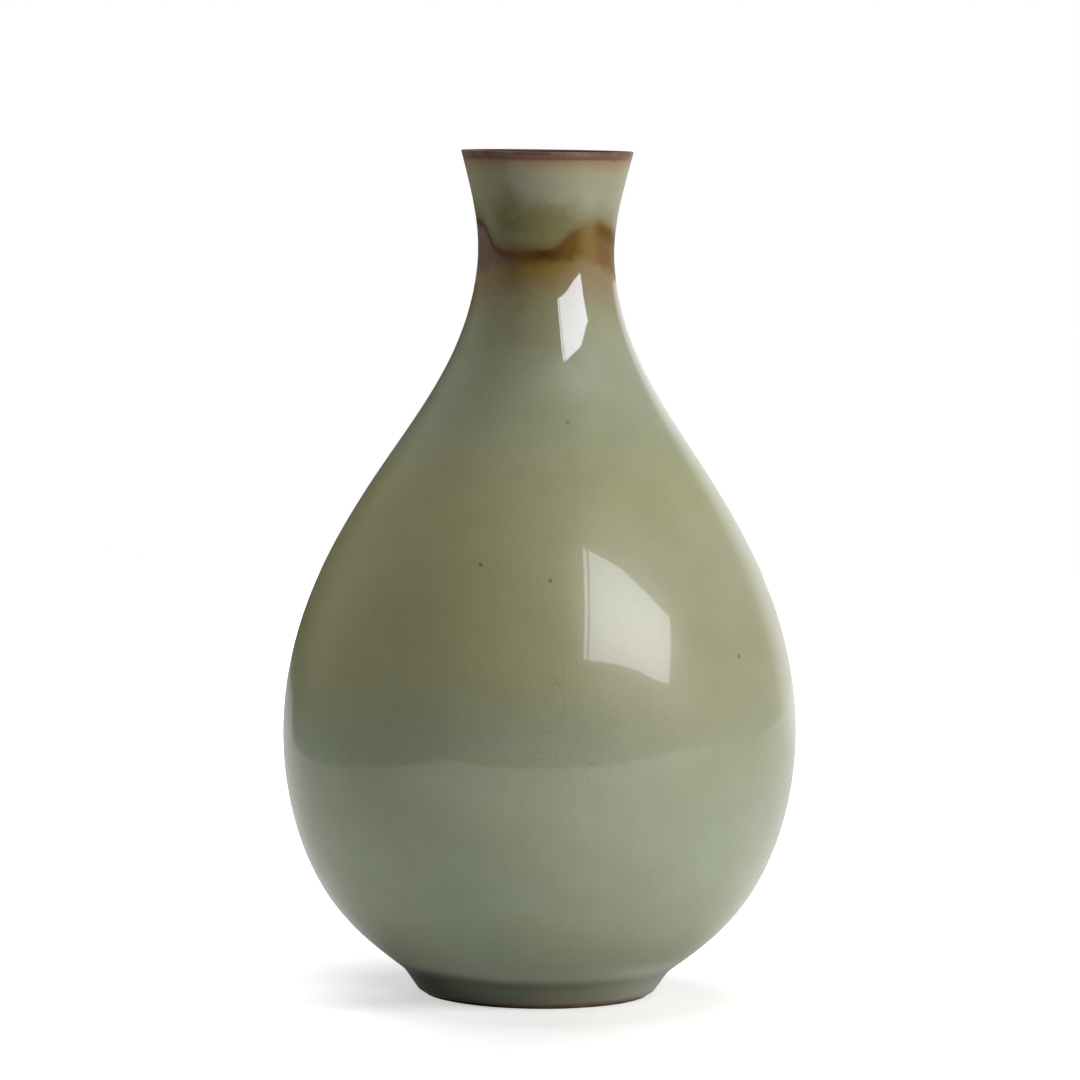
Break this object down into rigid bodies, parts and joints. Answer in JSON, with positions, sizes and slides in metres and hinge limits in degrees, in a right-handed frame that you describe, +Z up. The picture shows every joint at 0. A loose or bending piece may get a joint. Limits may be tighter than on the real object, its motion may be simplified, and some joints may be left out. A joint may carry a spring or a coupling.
{
  "type": "bottle vase",
  "caption": "Glazed stoneware bottle vase with a round pear-shaped belly, a narrow neck, a flared mouth and a tapered foot ring; holds water and cut stems.",
  "frame": {"origin": "middle of the flat face that the foot ring stands on", "axes": "+Z up along the axis that the pot was turned about, towards the mouth; the pot is round, so +X is any side"},
  "size_m": [0.1276, 0.1276, 0.21],
  "materials": {
    "thrown_clay": "bare iron-bearing stoneware, smooth and dark on the lip",
    "turned_clay": "bare iron-bearing stoneware, turned and left matt",
    "body_celadon": "glossy grey-green celadon, olive where it is thin",
    "mouth_celadon": "glossy grey-green celadon with a brown lower edge",
    "liner_celadon": "thin glossy celadon",
    "well_celadon": "thin glossy celadon"
  },
  "bodies": {
    "root": {"thrown_body": "thrown_clay", "foot_ring": "turned_clay", "body_glaze": "body_celadon", "mouth_glaze": "mouth_celadon", "liner_glaze": "liner_celadon", "foot_well_glaze": "well_celadon"}
  },
  "joints": []
}
